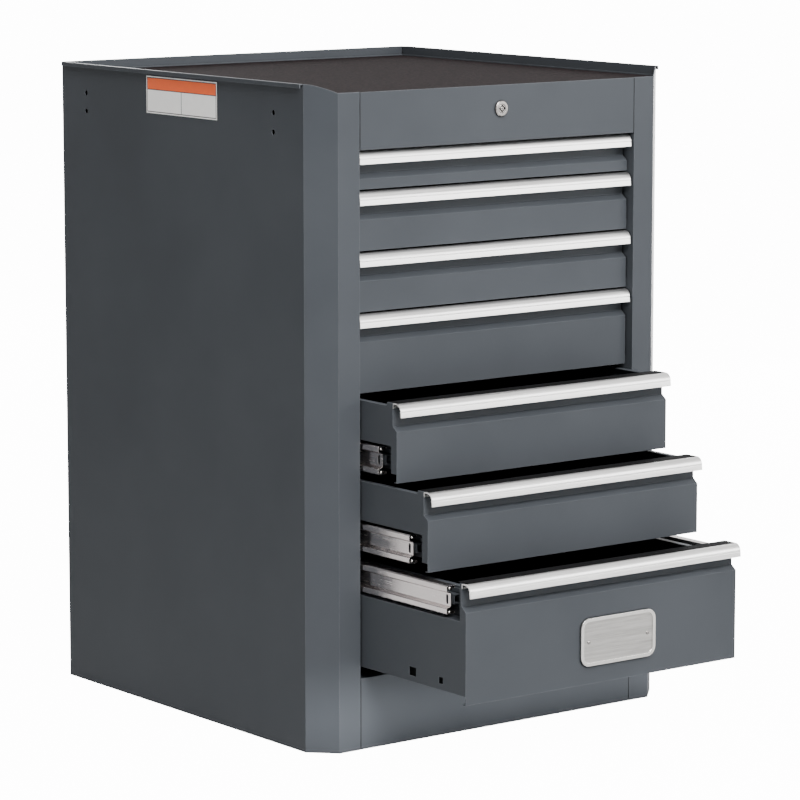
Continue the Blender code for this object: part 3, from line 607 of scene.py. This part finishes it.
def extruded(name, outline, axis, low, high, material):
    """A new piece: an outline of (y, z) drawn along X, or of (x, z) drawn along Y."""
    shape = bmesh.new()
    rings = []
    for along in (low, high):
        if axis == "X":
            rings.append([shape.verts.new((along, u, v)) for u, v in outline])
        else:
            rings.append([shape.verts.new((u, along, v)) for u, v in outline])
    shape.faces.new(rings[0])
    shape.faces.new(rings[1])
    count = len(outline)
    for index in range(count):
        after = (index + 1) % count
        shape.faces.new((rings[0][index], rings[0][after], rings[1][after], rings[1][index]))
    bmesh.ops.recalc_face_normals(shape, faces=shape.faces)
    mesh = bpy.data.meshes.new(name)
    shape.to_mesh(mesh)
    shape.free()
    mesh.shade_smooth()
    mesh.materials.append(material)
    made = bpy.data.objects.new(name, mesh)
    collection.objects.link(made)
    return made


def soften(piece, width, segments=2, angle=30):
    """Break a new piece's sharp edges by a small radius."""
    radius = piece.modifiers.new("edge_radius", "BEVEL")
    radius.width = width
    radius.segments = segments
    radius.limit_method = "ANGLE"
    radius.angle_limit = math.radians(angle)
    shade = piece.modifiers.new("shade", "WEIGHTED_NORMAL")
    shade.weight = 100


SCRATCHES_PER_METRE = 1500.0


def make_brushing():
    """Brushing along X: long fine scratches as a tone and a height."""
    tree, entry, leave, place = surface_group("long_brushing")
    group_input(tree, "Stretch", "NodeSocketFloat", 12.0)
    group_output(tree, "Tone", "NodeSocketFloat")
    group_output(tree, "Height", "NodeSocketFloat")
    parts = tree.nodes.new("ShaderNodeSeparateXYZ")
    tree.links.new(place, parts.inputs["Vector"])
    stretched = tree.nodes.new("ShaderNodeCombineXYZ")
    along = math_node(tree, "MULTIPLY", parts.outputs["X"], entry.outputs["Stretch"])
    tree.links.new(along, stretched.inputs["X"])
    for side in ("Y", "Z"):
        across = math_node(tree, "MULTIPLY", parts.outputs[side], SCRATCHES_PER_METRE)
        tree.links.new(across, stretched.inputs[side])
    fine = noise(tree, stretched.outputs["Vector"], 1.0, 3.0, 0.6)
    broad = noise(tree, stretched.outputs["Vector"], 0.16, 2.0, 0.5)
    fine_part = math_node(tree, "MULTIPLY", fine, 0.6)
    broad_part = math_node(tree, "MULTIPLY", broad, 0.4)
    both = math_node(tree, "ADD", fine_part, broad_part)
    tree.links.new(both, leave.inputs["Tone"])
    tree.links.new(fine, leave.inputs["Height"])
    return tree


long_brushing = make_brushing()


def brushed_material(name, dark, light):
    material, tree, shader = new_material(name)
    marks = use_group(tree, long_brushing, Stretch=12.0)
    shader.inputs["Metallic"].default_value = 1.0
    tone = span(tree, marks["Tone"], 0.35, 0.65, 0.0, 1.0)
    tree.links.new(mix_colour(tree, tone, dark, light), shader.inputs["Base Color"])
    tree.links.new(span(tree, marks["Tone"], 0.3, 0.7, 0.26, 0.42), shader.inputs["Roughness"])
    raise_bump(tree, shader, marks["Height"], 0.00002, 0.4)
    return material


brushed_aluminium = brushed_material("brushed_aluminium", display(222, 220, 218), display(247, 246, 244))


def pull_outline(front, back, top):
    """Outline in Y and Z, from the leg's foot over the nose to the lip's edge."""
    nose = (front + PULL_LIP_LEAN + PULL_NOSE, top - PULL_NOSE)
    path = [(back, top - PULL_LEG)]
    path += arc_points((back - PULL_BEND, top - PULL_BEND), PULL_BEND, 0, 90, 4)
    path += arc_points(nose, PULL_NOSE, 90, 180, NOSE_STEPS)
    crease = top - PULL_NOSE - PULL_CREASE_STEP
    path.append((front + PULL_LIP_LEAN + PULL_CREASE, crease))
    path.append((front + PULL_LIP_LEAN, crease - PULL_CREASE_STEP))
    path.append((front, top - PULL_LIP))
    return sheet_outline(path, PULL_WALL)


for number in numbers:
    low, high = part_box(f"drawer_{number}_pull")
    outline = pull_outline(low[1], high[1], high[2])
    pull = extruded(f"pull_{number}", outline, "X", low[0], high[0], brushed_aluminium)
    soften(pull, 0.00035, angle=40)
    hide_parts(f"drawer_{number}_pull")
    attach(pull, f"drawer_{number}")


# ---- Grip strips -----------------------------------------------------------------------------
# A thin black vinyl strip is stuck along the top of each front, from the pull's nose to the
# rear skin, and hides the joint between the two.

STRIP_START = 0.0105
STRIP_END = 0.0305
STRIP_INSET = 0.0025
STRIP_LIFT = 0.00006
STRIP_THICKNESS = 0.0006
strip_vinyl = rubber_material("strip_vinyl", display(12, 12, 13), display(24, 24, 25), 900.0)
for number in numbers:
    low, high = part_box(f"drawer_{number}_pull")
    base = high[2] + STRIP_LIFT
    near, far = low[1] + STRIP_START, low[1] + STRIP_END
    face_top = base + STRIP_THICKNESS
    outline = [(near, base), (far, base), (far, face_top), (near, face_top)]
    strip = extruded(
        f"grip_strip_{number}", outline, "X", low[0] + STRIP_INSET, high[0] - STRIP_INSET, strip_vinyl)
    soften(strip, 0.0002)
    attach(strip, f"drawer_{number}")


# ---- Slide middle members --------------------------------------------------------------------
# Each drawer runs on two telescopic slides. The middle member is a zinc-plated channel whose two
# raised bands hold the balls, and a slot near its end takes the stop.

for number in numbers:
    for side in ("left", "right"):
        dress(f"drawer_{number}_slide_{side}", bright_zinc, edge=0.0003)


# ---- Ball cages ------------------------------------------------------------------------------
# Inside both bands of a middle member a black nylon strip spaces the steel balls. Its end looks
# out of the front of the slide.

CAGE_LENGTH = 0.062
CAGE_LEAD = 0.003
CAGE_WIDTH = 0.0026
CAGE_HEIGHT = 0.0034
CAGE_FROM_OUTSIDE = 0.0062
CAGE_FROM_TOP = 0.0036
BALL_RADIUS = 0.0021
BALL_PITCH = 0.009
cage_nylon = rubber_material("cage_nylon", display(18, 17, 17), display(34, 32, 31), 1200.0)
ball_steel = chrome_material("ball_steel", display(206, 204, 200), display(232, 230, 226))


def cage_mesh(name, outside, front, middle, reach, inward):
    """Both strips of one slide, with their balls set half into them."""
    shape = bmesh.new()
    for up in (-1, 1):
        x = outside + inward * CAGE_FROM_OUTSIDE
        z = middle + up * (reach - CAGE_FROM_TOP)
        start, end = front - CAGE_LEAD, front - CAGE_LEAD + CAGE_LENGTH
        made = bmesh.ops.create_cube(shape, size=1.0)
        for vert in made["verts"]:
            vert.co = (x + vert.co.x * CAGE_WIDTH, (start + end) / 2 + vert.co.y * (end - start),
                       z + vert.co.z * CAGE_HEIGHT)
        edges = {edge for vert in made["verts"] for edge in vert.link_edges}
        bmesh.ops.bevel(shape, geom=list(edges), offset=0.0005, segments=2, affect="EDGES")
        for index in range(int((CAGE_LENGTH - BALL_PITCH / 2) / BALL_PITCH)):
            centre = Vector((x - inward * CAGE_WIDTH * 0.45, start + BALL_PITCH * (0.4 + index), z))
            before = set(shape.faces)
            ball = bmesh.ops.create_icosphere(shape, subdivisions=3, radius=BALL_RADIUS)
            for vert in ball["verts"]:
                vert.co += centre
            for face in set(shape.faces) - before:
                face.material_index = 1
    mesh = bpy.data.meshes.new(name)
    shape.to_mesh(mesh)
    shape.free()
    mesh.shade_smooth()
    return mesh


for number in numbers:
    for side, inward in (("left", 1), ("right", -1)):
        low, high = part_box(f"drawer_{number}_slide_{side}")
        outside = low[0] if side == "left" else high[0]
        name = f"ball_cage_{number}_{side}"
        mesh = cage_mesh(name, outside, low[1], (low[2] + high[2]) / 2, (high[2] - low[2]) / 2, inward)
        mesh.materials.append(cage_nylon)
        mesh.materials.append(ball_steel)
        cage = bpy.data.objects.new(name, mesh)
        collection.objects.link(cage)
        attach(cage, f"drawer_{number}_slides")


# ---- Side label ------------------------------------------------------------------------------
# A printed vinyl film on the left wall: an orange band over two blank white fields, ruled in
# black. It carries no words or signs.

LABEL_BAND = 0.64
LABEL_MARGIN = 0.0022
LABEL_RULE = 0.0006


def label_material():
    material, tree, shader = new_material("printed_label")
    low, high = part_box("side_label")
    place = tree.nodes.new("ShaderNodeTexCoord").outputs["Object"]
    parts = tree.nodes.new("ShaderNodeSeparateXYZ")
    tree.links.new(place, parts.inputs["Vector"])
    along, up = parts.outputs["Y"], parts.outputs["Z"]

    def distance(value, centre):
        return math_node(tree, "ABSOLUTE", math_node(tree, "SUBTRACT", value, centre), 0.0)

    middle_y, middle_z = (low[1] + high[1]) / 2, (low[2] + high[2]) / 2
    frame_y = (high[1] - low[1]) / 2 - LABEL_MARGIN
    frame_z = (high[2] - low[2]) / 2 - LABEL_MARGIN
    over_y = math_node(tree, "SUBTRACT", distance(along, middle_y), frame_y)
    over_z = math_node(tree, "SUBTRACT", distance(up, middle_z), frame_z)
    past_frame = math_node(tree, "MAXIMUM", over_y, over_z)
    inside = math_node(tree, "LESS_THAN", past_frame, 0.0)
    band = low[2] + (high[2] - low[2]) * LABEL_BAND
    in_band = math_node(tree, "MULTIPLY", math_node(tree, "GREATER_THAN", up, band), inside)
    fade = noise(tree, place, 90.0, 3.0, 0.6)
    white = mix_colour(tree, fade, display(238, 237, 233), display(250, 249, 246))
    orange = mix_colour(tree, fade, display(232, 84, 26), display(246, 104, 38))
    printed = mix_colour(tree, in_band, white, orange)
    frame_rule = math_node(tree, "LESS_THAN", distance(past_frame, 0.0), LABEL_RULE)
    band_rule = math_node(tree, "LESS_THAN", distance(up, band), LABEL_RULE)
    middle_rule = math_node(tree, "LESS_THAN", distance(along, middle_y), LABEL_RULE)
    under_band = math_node(tree, "LESS_THAN", up, band)
    rules = math_node(tree, "MAXIMUM", band_rule, math_node(tree, "MULTIPLY", middle_rule, under_band))
    rules = math_node(tree, "MAXIMUM", math_node(tree, "MULTIPLY", rules, inside), frame_rule)
    tree.links.new(mix_colour(tree, rules, printed, display(24, 24, 25)), shader.inputs["Base Color"])
    tree.links.new(span(tree, fade, 0.3, 0.7, 0.38, 0.5), shader.inputs["Roughness"])
    raise_bump(tree, shader, fade, 0.00002, 0.3)
    return material


dress("side_label", label_material(), edge=0)


# ---- Badge -----------------------------------------------------------------------------------
# A blank cast plate on the deep drawer: polished border, brushed field, and two round rivets.

BADGE_BORDER_DEPTH = 0.0003
RIVET_RADIUS = 0.0027
RIVET_DOME = 0.0013
RIVET_SEAT = 0.0011
RIVET_INSET = 0.014


def turned_along_y(name, profile, centre, material, steps=32):
    """A closed turned piece on an axis along Y, from (radius, y) points that start on the axis."""
    shape = bmesh.new()
    tip = shape.verts.new((centre[0], centre[1] + profile[0][1], centre[2]))
    rings = []
    for radius, depth in profile[1:]:
        ring = []
        for step in range(steps):
            angle = math.tau * step / steps
            x = centre[0] + radius * math.cos(angle)
            z = centre[2] + radius * math.sin(angle)
            ring.append(shape.verts.new((x, centre[1] + depth, z)))
        rings.append(ring)
    for step in range(steps):
        after = (step + 1) % steps
        shape.faces.new((tip, rings[0][step], rings[0][after]))
        for near, far in zip(rings, rings[1:]):
            shape.faces.new((near[step], far[step], far[after], near[after]))
    shape.faces.new(rings[-1])
    bmesh.ops.recalc_face_normals(shape, faces=shape.faces)
    mesh = bpy.data.meshes.new(name)
    shape.to_mesh(mesh)
    shape.free()
    mesh.shade_smooth()
    mesh.materials.append(material)
    made = bpy.data.objects.new(name, mesh)
    collection.objects.link(made)
    return made


def badge_material():
    material, tree, shader = new_material("badge_plate")
    low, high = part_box("drawer_7_badge")
    marks = use_group(tree, long_brushing, Stretch=30.0)
    shader.inputs["Metallic"].default_value = 1.0
    parts = tree.nodes.new("ShaderNodeSeparateXYZ")
    tree.links.new(tree.nodes.new("ShaderNodeTexCoord").outputs["Object"], parts.inputs["Vector"])
    depth = math_node(tree, "GREATER_THAN", parts.outputs["Y"], low[1] + BADGE_BORDER_DEPTH)
    brushed = span(tree, marks["Tone"], 0.35, 0.65, 0.0, 1.0)
    field = mix_colour(tree, brushed, display(158, 156, 153), display(192, 190, 187))
    border = mix_colour(tree, marks["Tone"], display(206, 204, 200), display(226, 224, 220))
    tree.links.new(mix_colour(tree, depth, border, field), shader.inputs["Base Color"])
    tree.links.new(span(tree, depth, 0.0, 1.0, 0.16, 0.34), shader.inputs["Roughness"])
    raise_bump(tree, shader, marks["Height"], 0.00002, 0.35)
    return material


dress("drawer_7_badge", badge_material(), edge=0.0005, segments=3)
badge_low, badge_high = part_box("drawer_7_badge")
badge_field = badge_low[1] + RIVET_SEAT
rivet_profile = [(0.0, -RIVET_DOME)]
for step in range(1, 7):
    angle = math.radians(90 * step / 6)
    rivet_profile.append((RIVET_RADIUS * math.sin(angle), -RIVET_DOME * math.cos(angle)))
badge_middle = (badge_low[2] + badge_high[2]) / 2
for name, x in (("left", badge_low[0] + RIVET_INSET), ("right", badge_high[0] - RIVET_INSET)):
    rivet = turned_along_y(
        f"badge_rivet_{name}", rivet_profile, (x, badge_field, badge_middle), lock_chrome)
    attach(rivet, "drawer_7")
